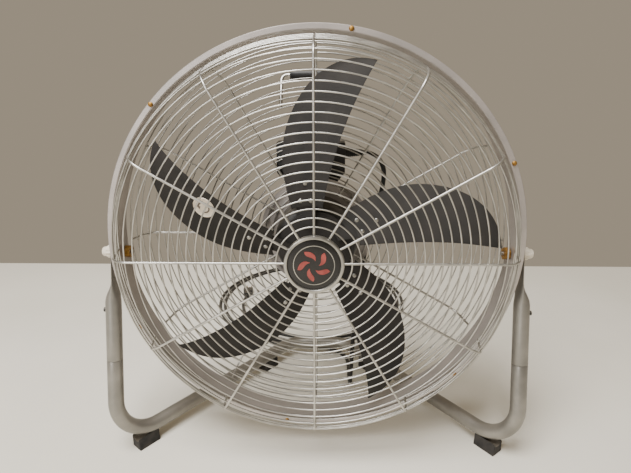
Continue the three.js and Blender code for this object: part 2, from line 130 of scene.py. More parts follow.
def finish(name, base, worn, roughness, metallic=0.0, patch=30.0, grain=1.5, bump=0.15, dust=0.0):
    """A finish with large soft patches between two colours, a fine grain in its gloss and bump, and dust on top.

    patch and grain are sizes in millimetres."""
    material = bpy.data.materials.new(name)
    material.use_nodes = True
    tree = material.node_tree
    tree.nodes.clear()
    place = add(tree, "ShaderNodeTexCoord").outputs["Object"]
    patches = add(tree, "ShaderNodeTexNoise", {"Vector": place, "Scale": 1000 / patch, "Detail": 5.0})
    fine = add(tree, "ShaderNodeTexNoise", {"Vector": place, "Scale": 1000 / grain, "Detail": 3.0})
    ramp = add(tree, "ShaderNodeValToRGB", {"Fac": patches.outputs["Fac"]})
    ramp.color_ramp.elements[0].position = 0.35
    ramp.color_ramp.elements[0].color = linear(base)
    ramp.color_ramp.elements[1].position = 0.7
    ramp.color_ramp.elements[1].color = linear(worn)
    colour = ramp.outputs["Color"]
    if dust:
        normal = add(tree, "ShaderNodeNewGeometry").outputs["Normal"]
        height = add(tree, "ShaderNodeSeparateXYZ", {"Vector": normal}).outputs["Z"]
        lying = add(
            tree, "ShaderNodeMapRange", {"Value": height, "From Min": 0.2, "From Max": 1.0, "To Max": dust}
        ).outputs["Result"]
        broken = add(tree, "ShaderNodeMath", {0: lying, 1: fine.outputs["Fac"]}, operation="MULTIPLY")
        mixed = add(
            tree,
            "ShaderNodeMix",
            {MIX_SHARE: broken.outputs[0], MIX_UNDER: colour, MIX_OVER: linear(DUST)},
            data_type="RGBA",
        )
        colour = mixed.outputs[MIX_RESULT]
    gloss = add(
        tree,
        "ShaderNodeMapRange",
        {"Value": fine.outputs["Fac"], "To Min": roughness - 0.08, "To Max": min(1, roughness + 0.12)},
    )
    relief = add(tree, "ShaderNodeBump", {"Height": fine.outputs["Fac"], "Strength": bump, "Distance": 0.4 * MM})
    shader = add(
        tree,
        "ShaderNodeBsdfPrincipled",
        {
            "Base Color": colour,
            "Metallic": metallic,
            "Roughness": gloss.outputs["Result"],
            "Normal": relief.outputs["Normal"],
        },
    )
    add(tree, "ShaderNodeOutputMaterial", {"Surface": shader.outputs[0]})
    return material


# %% [markdown]
# The finishes. Paint on the stand and hoop is a grey with a little metal flake in it, and years of dust have made
# it matt. The guards are dull nickel plate. The blades are painted sheet, and dust has settled in their grain.

# %% Finishes
FINISHES = {
    "painted_tube": finish("grey_flake_enamel", "#7a7771", "#96928a", 0.36, 0.65, 45, 1.2, 0.12, 0.25),
    "painted_sheet": finish("silver_enamel", "#a29c98", "#b8b0ab", 0.38, 0.6, 60, 1.2, 0.1, 0.3),
    "guard_wire": finish("dull_nickel_plate", "#a19e98", "#c6c3bc", 0.3, 0.9, 25, 1.0, 0.08, 0.12),
    "charcoal_paint": finish("charcoal_blade_paint", "#1b1917", "#292522", 0.8, 0.0, 35, 2.0, 0.3, 0.08),
    "black_enamel": finish("black_motor_enamel", "#141312", "#201e1c", 0.45, 0.0, 30, 1.5, 0.2, 0.35),
    "black_plastic": finish("black_moulded_abs", "#131313", "#1c1b1a", 0.5, 0.0, 25, 0.8, 0.35, 0.25),
    "foot_rubber": finish("worn_foot_rubber", "#191817", "#35312d", 0.85, 0.0, 12, 1.5, 0.5, 0.4),
    "cord_rubber": finish("black_cord_jacket", "#0f0f0f", "#1b1a19", 0.6, 0.0, 20, 1.5, 0.25, 0.2),
    "bright_steel": finish("turned_steel", "#8f8d88", "#b8b5ad", 0.32, 0.95, 20, 0.8, 0.1),
    "zinc_yellow": finish("tarnished_yellow_zinc", "#7a5426", "#a8813f", 0.48, 0.8, 4, 0.8, 0.3),
    "cream_plastic": finish("aged_cream_plastic", "#cfc4b0", "#e2dacb", 0.5, 0.0, 12, 0.8, 0.15),
}
BADGE_BLACK = finish("badge_gloss_black", "#0c0b0b", "#161414", 0.28, 0.0, 20, 1.0, 0.05)
BADGE_RED = finish("badge_red_enamel", "#7c2f2b", "#96423b", 0.35, 0.0, 8, 0.8, 0.1)
LABEL = finish("pale_foil_label", "#d6c8b5", "#e6dac9", 0.42, 0.2, 6, 0.8, 0.25)
LABEL_INK = finish("label_ink", "#5a5048", "#6c6157", 0.6, 0.0, 6, 0.8, 0.1)
for part in frame["record"]["subparts"]:
    node = frame["nodes"][part["node"]]
    for slot in node.material_slots:
        slot.material = FINISHES[part["material_slot"]]
print(len(FINISHES), "finishes")


# %% [markdown]
# Most pieces are one of three shapes: a profile turned on a lathe, a section drawn along a bent path, or a sheet
# over a surface. Each has a function that makes closed faces, and one function makes the object from them.

# %% Mesh helpers
def piece(name, points, faces, slot, body, replaced=(), bevel=0.0, material=None):
    """A closed mesh piece in its finish, smooth but for its sharp edges, riding on its body."""
    mesh = bpy.data.meshes.new(name)
    mesh.from_pydata([tuple(p) for p in points], [], faces)
    work = bmesh.new()
    work.from_mesh(mesh)
    bmesh.ops.remove_doubles(work, verts=work.verts, dist=1e-6)
    bmesh.ops.recalc_face_normals(work, faces=work.faces)
    if bevel:
        sharp = [e for e in work.edges if e.is_manifold and e.calc_face_angle() > math.radians(35)]
        bmesh.ops.bevel(work, geom=sharp, offset=bevel * MM, segments=2, affect="EDGES", profile=0.6)
    work.to_mesh(mesh)
    work.free()
    mesh.shade_smooth()
    mesh.set_sharp_from_angle(angle=math.radians(40))
    made = bpy.data.objects.new(name, mesh)
    bpy.context.scene.collection.objects.link(made)
    mesh.materials.append(material or FINISHES[slot])
    if body:
        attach(made, body)
    if replaced:
        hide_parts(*replaced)
    return made


def grid_faces(rows, columns, first=0, closed_rows=False, closed_columns=False):
    """Quads over a grid of points, row by row."""
    faces = []
    for r in range(rows if closed_rows else rows - 1):
        for c in range(columns if closed_columns else columns - 1):
            a, b = r * columns, (r + 1) % rows * columns
            d = (c + 1) % columns
            faces.append((first + a + c, first + a + d, first + b + d, first + b + c))
    return faces


def turned(profile, segments=96, axis="Y", centre=(0, 0, 0)):
    """A closed profile of [radius, along] pairs turned about an axis through a point."""
    points = []
    for i in range(segments):
        c, s = math.cos(math.tau * i / segments), math.sin(math.tau * i / segments)
        for radius, along in profile:
            x, y, z = (radius * c, along, radius * s) if axis == "Y" else (along, radius * c, radius * s)
            points.append(at(centre[0] + x, centre[1] + y, centre[2] + z))
    return points, grid_faces(segments, len(profile), 0, True, True)


def bent(corners, radii, step=6.0):
    """Points along straight runs with an arc of its own radius at each inner corner, in millimetres."""
    corners = [Vector(c) for c in corners]
    points = [corners[0]]
    for corner, before, after, radius in zip(corners[1:-1], corners, corners[2:], radii):
        into, out = (corner - before).normalized(), (after - corner).normalized()
        turn = into.angle(out)
        start = corner - into * radius * math.tan(turn / 2)
        side = (out - into * into.dot(out)).normalized()
        count = max(4, int(radius * turn / step))
        run = int((start - points[-1]).length / 25) + 1
        points += [points[-1].lerp(start, k / run) for k in range(1, run)]
        for k in range(count + 1):
            angle = turn * k / count
            points.append(start + into * radius * math.sin(angle) + side * radius * (1 - math.cos(angle)))
    last = corners[-1]
    run = int((last - points[-1]).length / 25) + 1
    return points + [points[-1].lerp(last, k / run) for k in range(1, run + 1)]


def along_spline(points, per_span=6):
    """A centripetal spline through the given points."""
    points = [Vector(p) for p in points]
    ends = [points[0] * 2 - points[1], *points, points[-1] * 2 - points[-2]]
    made = []
    for a, b, c, d in zip(ends, ends[1:], ends[2:], ends[3:]):
        t1 = (b - a).length ** 0.5
        t2 = t1 + (c - b).length ** 0.5
        t3 = t2 + (d - c).length ** 0.5
        for k in range(per_span):
            t = t1 + (t2 - t1) * k / per_span
            ab = a.lerp(b, t / t1)
            bc = b.lerp(c, (t - t1) / (t2 - t1))
            cd = c.lerp(d, (t - t2) / (t3 - t2))
            abc = ab.lerp(bc, t / t2)
            bcd = bc.lerp(cd, (t - t1) / (t3 - t1))
            made.append(abc.lerp(bcd, (t - t1) / (t2 - t1)))
    return made + [points[-1]]


def drawn(points, section, sides=20):
    """A section drawn along points. section(k) gives the two half widths at step k, the first along the side."""
    faces, ring_points = [], []
    side = None
    for k, point in enumerate(points):
        way = (points[min(k + 1, len(points) - 1)] - points[max(k - 1, 0)]).normalized()
        if side is None:
            side = way.cross(Vector((0, 0, 1)) if abs(way.z) < 0.9 else Vector((0, 1, 0)))
        side = (side - way * side.dot(way)).normalized()
        other = way.cross(side)
        wide, deep = section(k)
        for i in range(sides):
            angle = math.tau * i / sides
            ring_points.append(point + side * wide * math.cos(angle) + other * deep * math.sin(angle))
    faces = grid_faces(len(points), sides, 0, False, True)
    faces.append(tuple(range(sides)))
    faces.append(tuple((len(points) - 1) * sides + i for i in range(sides)))
    return [at(*p) for p in ring_points], faces


def round_tube(points, radius, sides=20):
    return drawn(points, lambda k: (radius, radius), sides)


def prism(outline, y0, y1):
    """An outline of [x, z] pairs drawn out along Y."""
    count = len(outline)
    points = [at(x, y, z) for y in (y0, y1) for x, z in outline]
    faces = [tuple(range(count)), tuple(range(count, 2 * count))]
    faces += [(i, (i + 1) % count, count + (i + 1) % count, count + i) for i in range(count)]
    return points, faces


def merged(*shapes):
    """Several shapes as one list of points and faces."""
    points, faces = [], []
    for shape_points, shape_faces in shapes:
        faces += [tuple(i + len(points) for i in face) for face in shape_faces]
        points += shape_points
    return points, faces


# %% [markdown]
# The cord comes early, because it is the one soft thing here. It leaves a strain relief on the switch box, falls
# behind the head, passes under the crossbar and lies on the floor in a loose round coil. It is one tube, and
# where the head tilts it bends between the head and the stand instead of tearing.

# %% Cord
CORD_RADIUS = 3.5
FLOOR = -CENTRE.z / MM
CORD_LIES = FLOOR + 3.8
JUNCTION = (60, 120, -280.4)
drop_route = [
    (68.8, 94, 118),
    (78, 94, 117),
    (92, 95, 109),
    (100, 96, 94),
    (101, 98, 76),
    (98, 100, 55),
    (92, 102, 30),
    (85, 103, 0),
    (78, 103, -35),
    (72, 101, -75),
    (67, 98, -115),
    (64, 96, -155),
    (61, 96, -190),
    (60, 100, -222),
    (60, 110, -253.7),
    JUNCTION,
]
floor_route = [
    (60, 123, FLOOR + 27.5),
    (60, 128, FLOOR + 17),
    (60, 137, FLOOR + 8.5),
    (60, 149, FLOOR + 4.3),
    (60, 162, CORD_LIES),
    (60, 185, CORD_LIES),
    (60, 205, CORD_LIES),
]
COIL_X, COIL_Y, COIL_RADIUS = -20, 515, 243
for i in range(1, 5):
    angle = math.pi / 2 * i / 5
    floor_route.append((COIL_X + 80 * math.cos(angle), 210 + 62 * math.sin(angle), CORD_LIES))
TURNS, STEPS_PER_TURN = 2.25, 20
for i in range(int(TURNS * STEPS_PER_TURN) + 1):
    turn = i / STEPS_PER_TURN
    radius = COIL_RADIUS - 12 * turn - 160 * max(0, turn - 1.75) ** 2
    angle = -math.pi / 2 - math.tau * turn
    rise = min(1, max(0, (turn - 2.1) / 0.14))
    lift = 5 * rise * rise * (3 - 2 * rise)
    floor_route.append((COIL_X + radius * math.cos(angle), COIL_Y + radius * math.sin(angle), CORD_LIES + lift))
cord_line = along_spline(drop_route + floor_route, 6)
cord_points, cord_faces = round_tube(cord_line, CORD_RADIUS, 12)
flex = piece("mains_cord", cord_points, cord_faces, "cord_rubber", None, ("cord_drop", "cord_floor"))
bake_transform(flex, "head", "stand", start=at(100, 96, 60), end=at(*JUNCTION))

# %% [markdown]
# The stand is one steel tube bent in a mandrel, so its corners are true arcs and its section stays round. Each
# upper tube plugs in at a seam and is pressed flat at its top to take the pivot bolt, which the section follows.

# %% Stand
TUBE = 11.0
TUBE_Z = FLOOR + 25
# The floor tube's corners: each upright comes down at the front, and the crossbar joins both sides at the back.
STAND_X, STAND_FRONT = 290, -46
CROSSBAR_HALF, STAND_BACK = 57, 251
SEAM = 158
LEAN = Vector((0, STAND_FRONT - TILT[1], TUBE_Z - TILT[2])).normalized()


def on_upright(side, distance):
    return Vector((side * STAND_X, TILT[1], TILT[2])) + LEAN * distance


floor_tube = bent(
    [
        on_upright(-1, SEAM),
        (-STAND_X, STAND_FRONT, TUBE_Z),
        (-CROSSBAR_HALF, STAND_BACK, TUBE_Z),
        (CROSSBAR_HALF, STAND_BACK, TUBE_Z),
        (STAND_X, STAND_FRONT, TUBE_Z),
        on_upright(1, SEAM),
    ],
    [55, 55, 55, 55],
    4.0,
)
piece("bent_floor_tube", *round_tube(floor_tube, TUBE, 28), "painted_tube", "stand", ["base_tube"], 0.6)


def eased(value, low, high):
    t = min(1, max(0, (value - low) / (high - low)))
    return t * t * (3 - 2 * t)


for side, word in ((-1, "left"), (1, "right")):
    distances = [SEAM - GAP, 120, 90, 72, 66, 60, 55, 50, 45, 40, 35, 28, 15, 0, -6, -9, -11.5, -12.6]
    line = []
    for d in distances:
        inward = 4 * (1 - eased(d, 40, 72))
        line.append(on_upright(side, d) - Vector((side * inward, 0, 0)))

    def half_widths(k, distances=distances):
        flat = 1 - eased(distances[k], 38, 74)
        end = max(0.0, (-distances[k]) / 13.0)
        rounding = math.sqrt(max(0.02, 1 - end * end))
        return TUBE + (2.0 - TUBE) * flat, (TUBE + 2.5 * flat) * rounding

    points, faces = drawn(line, half_widths, 28)
    piece(word + "_upper_tube", points, faces, "painted_tube", "stand", [word + "_upright"], 0.4)

# %% [markdown]
# Each foot is a rubber block that cups the tube. Its section is a block with a round trough, drawn a short way
# along the tube, and its edges are worn round.

# %% Feet
def foot(name, node):
    low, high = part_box(node)
    centre = (Vector(low) + Vector(high)) / 2
    sign_x = 1 if centre.x > 0 else -1
    way = Vector((sign_x * (STAND_X - CROSSBAR_HALF), STAND_FRONT - STAND_BACK, 0)).normalized()
    across = Vector((-way.y, way.x, 0))
    outline = [(-10, 0), (10, 0), (10, 9), (9.2, 20)]
    outline += [
        (-11.3 * math.sin(a), 25 - 11.3 * math.cos(a))
        for a in [math.radians(-52 + 104 * k / 10) for k in range(11)]
    ]
    outline += [(-9.2, 20), (-10, 9)]
    points = []
    for along in (-17, 17):
        for a, b in outline:
            flare = 1.0 if b > 2 else 1.06
            points.append(centre + way * along * MM + across * a * flare * MM)
            points[-1].z = b * MM
    count = len(outline)
    faces = [tuple(range(count)), tuple(range(count, 2 * count))]
    faces += [(i, (i + 1) % count, count + (i + 1) % count, count + i) for i in range(count)]
    piece(name, points, faces, "foot_rubber", "stand", [node], 0.8)


for end in ("front", "rear"):
    for word in ("left", "right"):
        foot(f"{end}_{word}_rubber", f"{end}_{word}_foot")

# %% [markdown]
# The hoop is rolled from sheet. Its front edge is turned out into a narrow flange and its back edge has a bead. A
# turned profile gives both, and a small bevel keeps the sheet's edges from looking like a razor.

# %% Hoop
BAND, SHEET, FLANGE = 271.5, 1.5, 279
FRONT, BACK = -9, 34
hoop_profile = [
    (BAND, FRONT + 1.2),
    (BAND + 1.2, FRONT),
    (FLANGE - 0.8, FRONT),
    (FLANGE, FRONT + 0.8),
    (FLANGE - 0.8, FRONT + SHEET),
    (BAND + SHEET + 0.8, FRONT + SHEET),
    (BAND + SHEET, FRONT + SHEET + 0.8),
    (BAND + SHEET, BACK - 4),
]
for k in range(9):
    angle = math.radians(-90 + 180 * k / 8)
    hoop_profile.append((BAND + 2.2 + 1.8 * math.cos(angle), BACK - 1.8 + 1.8 * math.sin(angle)))
hoop_profile.append((BAND, BACK - 0.4))
piece("rolled_hoop", *turned(hoop_profile, 256), "painted_sheet", "head", ["hoop"])

# %% [markdown]
# A guard is rings of thin wire welded to thicker spokes, and it follows one rule: the rings sit at even steps
# along the spoke. Geometry Nodes say that rule directly. The object's own mesh is the spoke's profile. The tree
# rounds its corner, puts a ring wherever an even step falls, and copies the spoke round the axis.

# %% Wire guard tree
def tree_with(name, sockets):
    """A geometry tree with named inputs, and its first and last nodes."""
    tree = bpy.data.node_groups.new(name, "GeometryNodeTree")
    tree.interface.new_socket("Geometry", in_out="INPUT", socket_type="NodeSocketGeometry")
    for socket, kind, value in sockets:
        made = tree.interface.new_socket(socket, in_out="INPUT", socket_type=kind)
        if value is not None:
            made.default_value = value
    tree.interface.new_socket("Geometry", in_out="OUTPUT", socket_type="NodeSocketGeometry")
    return tree, add(tree, "NodeGroupInput"), add(tree, "NodeGroupOutput")


def out(tree, kind, inputs=None, socket=0, **settings):
    """One output of a new node."""
    return add(tree, kind, inputs, **settings).outputs[socket]


FLOAT, COUNT, MATERIAL = "NodeSocketFloat", "NodeSocketInt", "NodeSocketMaterial"
guard_tree, start, end = tree_with(
    "wire_guard",
    [
        ("Rings", COUNT, 21),
        ("Spokes", COUNT, 12),
        ("Wire Radius", FLOAT, 0.0011),
        ("Spoke Radius", FLOAT, 0.0018),
        ("Corner Radius", FLOAT, 0.03),
        ("Material", MATERIAL, None),
    ],
)
profile = out(guard_tree, "GeometryNodeMeshToCurve", {"Mesh": start.outputs["Geometry"]})
profile = out(
    guard_tree,
    "GeometryNodeFilletCurve",
    {"Curve": profile, "Radius": start.outputs["Corner Radius"], "Count": 8, "Limit Radius": True},
    mode="POLY",
)
steps = out(guard_tree, "GeometryNodeResampleCurve", {"Curve": profile, "Count": start.outputs["Rings"]})
spots = out(guard_tree, "GeometryNodeCurveToPoints", {"Curve": steps}, mode="EVALUATED")
where = out(guard_tree, "GeometryNodeInputPosition")
split = add(guard_tree, "ShaderNodeSeparateXYZ", {"Vector": where})
lifted = out(guard_tree, "ShaderNodeCombineXYZ", {"Y": split.outputs["Y"]})
ring_radius = split.outputs["X"]
reach = out(guard_tree, "ShaderNodeCombineXYZ", {"X": ring_radius, "Y": ring_radius, "Z": ring_radius})
kept = add(
    guard_tree,
    "GeometryNodeStoreNamedAttribute",
    {"Geometry": spots, "Name": "reach", "Value": reach},
    data_type="FLOAT_VECTOR",
    domain="POINT",
)
centred = out(guard_tree, "GeometryNodeSetPosition", {"Geometry": kept.outputs[0], "Position": lifted})
scale = out(guard_tree, "GeometryNodeInputNamedAttribute", {"Name": "reach"}, data_type="FLOAT_VECTOR")
circle = out(guard_tree, "GeometryNodeCurvePrimitiveCircle", {"Resolution": 144, "Radius": 1.0})
upright = out(guard_tree, "GeometryNodeTransform", {"Geometry": circle, "Rotation": (math.pi / 2, 0, 0)})
rings = out(guard_tree, "GeometryNodeInstanceOnPoints", {"Points": centred, "Instance": upright, "Scale": scale})
rings = out(guard_tree, "GeometryNodeRealizeInstances", {"Geometry": rings})
wire_section = out(
    guard_tree, "GeometryNodeCurvePrimitiveCircle", {"Resolution": 7, "Radius": start.outputs["Wire Radius"]}
)
rings = out(guard_tree, "GeometryNodeCurveToMesh", {"Curve": rings, "Profile Curve": wire_section, "Fill Caps": True})
index = out(guard_tree, "GeometryNodeInputIndex")
share = out(guard_tree, "ShaderNodeMath", {0: index, 1: start.outputs["Spokes"]}, operation="DIVIDE")
angle = out(guard_tree, "ShaderNodeMath", {0: share, 1: math.tau}, operation="MULTIPLY")
turn = out(guard_tree, "ShaderNodeCombineXYZ", {"Y": angle})
hubs = out(guard_tree, "GeometryNodePoints", {"Count": start.outputs["Spokes"]})
spokes = out(guard_tree, "GeometryNodeInstanceOnPoints", {"Points": hubs, "Instance": profile, "Rotation": turn})
spokes = out(guard_tree, "GeometryNodeRealizeInstances", {"Geometry": spokes})
spoke_section = out(
    guard_tree, "GeometryNodeCurvePrimitiveCircle", {"Resolution": 10, "Radius": start.outputs["Spoke Radius"]}
)
spokes = out(
    guard_tree, "GeometryNodeCurveToMesh", {"Curve": spokes, "Profile Curve": spoke_section, "Fill Caps": True}
)
both = add(guard_tree, "GeometryNodeJoinGeometry")
guard_tree.links.new(rings, both.inputs[0])
guard_tree.links.new(spokes, both.inputs[0])
smooth = out(guard_tree, "GeometryNodeSetShadeSmooth", {"Geometry": both.outputs[0]})
dressed = out(guard_tree, "GeometryNodeSetMaterial", {"Geometry": smooth, "Material": start.outputs["Material"]})
guard_tree.links.new(dressed, end.inputs[0])


def grown(name, points, edges, tree, values, body, replaced=()):
    """Runs a tree on points and edges in millimetres, and keeps what it makes as a plain mesh piece."""
    seed_mesh = bpy.data.meshes.new(name + "_seed")
    seed_mesh.from_pydata([tuple(Vector(p) * MM) for p in points], edges, [])
    seed = bpy.data.objects.new(name, seed_mesh)
    bpy.context.scene.collection.objects.link(seed)
    modifier = seed.modifiers.new("grow", "NODES")
    modifier.node_group = tree
    names = {item.name: item.identifier for item in tree.interface.items_tree if item.in_out == "INPUT"}
    for key, value in values.items():
        modifier[names[key]] = value
    graph = bpy.context.evaluated_depsgraph_get()
    mesh = bpy.data.meshes.new_from_object(seed.evaluated_get(graph))
    seed.modifiers.remove(modifier)
    seed.data = mesh
    for attribute in [a for a in mesh.attributes if a.name == "reach"]:
        mesh.attributes.remove(attribute)
    mesh.transform(Matrix.Translation(CENTRE))
    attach(seed, body)
    if replaced:
        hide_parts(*replaced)
    print(name, len(mesh.polygons), "faces")
    return seed


# %% [markdown]
# Both guards are shallow pans: a flat face, a rounded corner and a short wall that meets the hoop.

# %% Guards
RIM = 266.5
FRONT_FACE, REAR_FACE = -60.5, 72


def guard(name, profile, rings, corner, node):
    points = [(radius, y, 0) for radius, y in profile]
    edges = [(i, i + 1) for i in range(len(points) - 1)]
    values = {
        "Rings": rings,
        "Spokes": 12,
        "Wire Radius": 1.0 * MM,
        "Spoke Radius": 1.6 * MM,
        "Corner Radius": corner * MM,
        "Material": FINISHES["guard_wire"],
    }
    grown(name, points, edges, guard_tree, values, "head", [node])


guard("front_wire_guard", [(36, FRONT_FACE), (253, FRONT_FACE), (RIM, FRONT + 1.8)], 25, 24, "front_guard")
guard("rear_wire_guard", [(66, REAR_FACE), (254, REAR_FACE), (RIM, BACK + 2)], 21, 22, "rear_guard")

# %% [markdown]
# Screws and rivets are the same small dome many times. One tree puts a dome on every point it is given.

# %% Domed heads
dome_tree, start, end = tree_with(
    "domed_heads", [("Radius", FLOAT, 0.003), ("Height", FLOAT, 0.5), ("Material", MATERIAL, None)]
)
ball = out(dome_tree, "GeometryNodeMeshUVSphere", {"Segments": 16, "Rings": 8, "Radius": start.outputs["Radius"]})
flatness = out(dome_tree, "ShaderNodeCombineXYZ", {"X": 1.0, "Y": start.outputs["Height"], "Z": 1.0})
dome = out(dome_tree, "GeometryNodeTransform", {"Geometry": ball, "Scale": flatness})
domes = out(dome_tree, "GeometryNodeInstanceOnPoints", {"Points": start.outputs["Geometry"], "Instance": dome})
domes = out(dome_tree, "GeometryNodeRealizeInstances", {"Geometry": domes})
smooth = out(dome_tree, "GeometryNodeSetShadeSmooth", {"Geometry": domes})
dressed = out(dome_tree, "GeometryNodeSetMaterial", {"Geometry": smooth, "Material": start.outputs["Material"]})
dome_tree.links.new(dressed, end.inputs[0])
rim_places = [
    (275.6 * math.cos(math.radians(a)), FRONT - 0.6, 275.6 * math.sin(math.radians(a)))
    for a in (25, 81, 137, 205, 261, 317)
]
grown(
    "rim_screw_heads",
    rim_places,
    [],
    dome_tree,
    {"Radius": 3.2 * MM, "Height": 0.6, "Material": FINISHES["zinc_yellow"]},
    "head",
    [f"rim_screw_{i}" for i in range(1, 7)],
)

# %% [markdown]
# Each blade is pressed sheet: narrow at the root, full in the middle, and swept over like a scimitar. Its outline
# is a formula in polar steps. The sheet has a twist, which flattens towards the tip, and a little camber.

# %% Blades
BLADE_ROOT, BLADE_TIP = 60, 250


def on_blade(s, u, shrink=1.0, lift=0.0):
    """A point on a blade in millimetres. s runs from root to tip and u across it."""
    radius = BLADE_ROOT + (BLADE_TIP - BLADE_ROOT) * s
    full = 44 + 32 * math.sin(math.pi / 2 * min(1, max(0, s) / 0.6))
    taper = math.sqrt(max(0.0002, 1 - max(0, s) ** 6))
    width = full * taper * shrink
    middle = math.radians(80.5 - 8 * max(0, s) ** 1.5) + full * 0.5 * taper / radius
    angle = middle + (u - 0.5) * width / radius
    pitch = math.radians(33 - 13 * s)
    camber = 5 * (0.25 - (u - 0.5) ** 2)
    return Vector(
        (radius * math.cos(angle), (u - 0.5) * width * math.tan(pitch) - camber + lift, radius * math.sin(angle))
    )


def sheet_over(surface, across, along, thickness):
    """A closed sheet over surface(u, v), with its thickness along the fan's axis."""
    shift = Vector((0, thickness / 2, 0))
    points = [
        surface(i / across, j / along) + shift * side
        for side in (-1, 1)
        for j in range(along + 1)
        for i in range(across + 1)
    ]
    row, layer = across + 1, (across + 1) * (along + 1)
    faces = grid_faces(along + 1, row) + grid_faces(along + 1, row, layer)
    edge = [i for i in range(row)] + [j * row + across for j in range(1, along + 1)]
    edge += [along * row + i for i in range(across - 1, -1, -1)] + [j * row for j in range(along - 1, 0, -1)]
    for a, b in zip(edge, edge[1:] + edge[:1]):
        faces.append((a, b, layer + b, layer + a))
    return points, faces


def spun(points, turn):
    """Points turned about the fan's axis and placed on the rotor."""
    spin = Matrix.Rotation(turn, 3, "Y")
    return [at(*(spin @ p)) for p in points]


arms = []
rivets = []
for i in range(5):
    turn = math.tau * i / 5
    points, faces = sheet_over(lambda u, v: on_blade(math.sin(math.pi / 2 * v), u), 14, 44, 1.3)
    piece(f"scimitar_blade_{i + 1}", spun(points, turn), faces, "charcoal_paint", "rotor", [f"blade_{i + 1}"], 0.35)
    points, faces = sheet_over(lambda u, v: on_blade(-0.14 + 0.36 * v, u, 0.62, 2.4), 8, 14, 1.3)
    arms.append((spun(points, turn), faces))
    spin = Matrix.Rotation(turn, 3, "Y")
    rivets += [spin @ on_blade(s, u, 0.62, -0.8) for s, u in ((0.04, 0.25), (0.04, 0.75), (0.16, 0.5))]
disc = turned([(6.4, 1.8), (50, 1.8), (50, 3.6), (6.4, 3.6)], 72)
piece("pressed_spider", *merged(disc, *arms), "charcoal_paint", "rotor", ["blade_spider"], 0.3)
grown(
    "blade_rivets",
    rivets,
    [],
    dome_tree,
    {"Radius": 3.4 * MM, "Height": 0.5, "Material": FINISHES["bright_steel"]},
    "rotor",
)

# %% [markdown]
# A round foil label sits on one blade. It is a thin disc with a raised edge and a plain swirl with an arrow tip.

# %% Blade label
LABEL_S, LABEL_U, LABEL_TURN = 0.51, 0.31, -math.tau / 5
spin = Matrix.Rotation(LABEL_TURN, 3, "Y")
label_centre = spin @ on_blade(LABEL_S, LABEL_U)
span_u = spin @ (on_blade(LABEL_S, LABEL_U + 0.1) - on_blade(LABEL_S, LABEL_U - 0.1))
span_s = spin @ (on_blade(LABEL_S + 0.04, LABEL_U) - on_blade(LABEL_S - 0.04, LABEL_U))
label_out = span_s.cross(span_u).normalized()
if label_out.y > 0:
    label_out = -label_out
label_side = span_u.normalized()
label_up = label_out.cross(label_side)


def on_label(radius, angle, height):
    return at(
        *(label_centre + label_out * height + (label_side * math.cos(angle) + label_up * math.sin(angle)) * radius)
    )


def label_disc(profile, segments=48):
    points = [on_label(r, math.tau * i / segments, h) for i in range(segments) for r, h in profile]
    return points, grid_faces(segments, len(profile), 0, True, True)


piece(
    "round_label",
    *label_disc([(0, 1.0), (13.6, 1.2), (14, 1.7), (15, 1.7), (15.4, 1.2), (15.4, 0.8), (0, 0.8)]),
    "bright_steel",
    "rotor",
    material=LABEL,
)
swirl = []
for k in range(25):
    angle = math.radians(20 + 260 * k / 24)
    for radius, height in ((6.5, 1.1), (8.6, 1.1), (8.6, 1.6), (6.5, 1.6)):
        swirl.append(on_label(radius, angle, height))
swirl_faces = grid_faces(25, 4, 0, False, True) + [(0, 1, 2, 3), (96, 97, 98, 99)]
tip = [on_label(r, math.radians(a), h) for h in (1.1, 1.6) for r, a in ((4.4, 280), (10.7, 280), (7.5, 318))]
tip_faces = [(0, 1, 2), (3, 4, 5), (0, 1, 4, 3), (1, 2, 5, 4), (2, 0, 3, 5)]
piece("label_swirl", *merged((swirl, swirl_faces), (tip, tip_faces)), "black_enamel", "rotor", material=LABEL_INK)

# %% [markdown]
# The hub badge is a spun metal ring round a domed black disc. Its emblem is a plain rosette of five petals.

# %% Badge
BADGE_BACK = FRONT_FACE - 2.8


def raised(profile):
    """A badge profile of [radius, height] pairs, turned with its heights towards the front."""
    return turned([(radius, BADGE_BACK - height) for radius, height in profile])


trim = [(32.4, 0), (32.4, 2.4), (33.4, 3.8), (35, 4.2), (36.6, 3.6), (37.5, 1.8), (37.5, 0)]
face = [(0, 3.2), (16, 3.1), (27, 2.8), (32, 1.8), (32, 0), (0, 0)]
inner_ring = [(24.6, 3.5), (25.6, 3.5), (25.6, 2.4), (24.6, 2.4)]
piece("badge_trim", *raised(trim), "bright_steel", "head", ["badge_ring"])
piece("badge_face", *raised(face), "black_enamel", "head", ["badge_disc"], material=BADGE_BLACK)
petals = []
for i in range(5):
    outline = []
    for k in range(13):
        t = k / 12
        outline.append((6 + 15 * t, 0.9 * t + 0.42 * math.sin(math.pi * t)))
    for k in range(12, -1, -1):
        t = k / 12
        outline.append((6 + 15 * t, 0.9 * t - 0.20 * math.sin(math.pi * t)))
    outline = outline[:12] + outline[13:-1]
    flat = [
        (r * math.cos(a + math.tau * i / 5), r * math.sin(a + math.tau * i / 5)) for r, a in outline
    ]
    petals.append(prism(flat, BADGE_BACK - 3.7, BADGE_BACK - 2.5))
piece("badge_rosette", *merged(*petals), "zinc_yellow", "head", material=BADGE_RED)
piece("badge_inner_ring", *raised(inner_ring), "bright_steel", "head")

# %% [markdown]
# The motor is two pressed cups on a plate behind the rear guard. Shallow grooves run round the rear cup, so the
# turned profile steps in and out once for each groove.

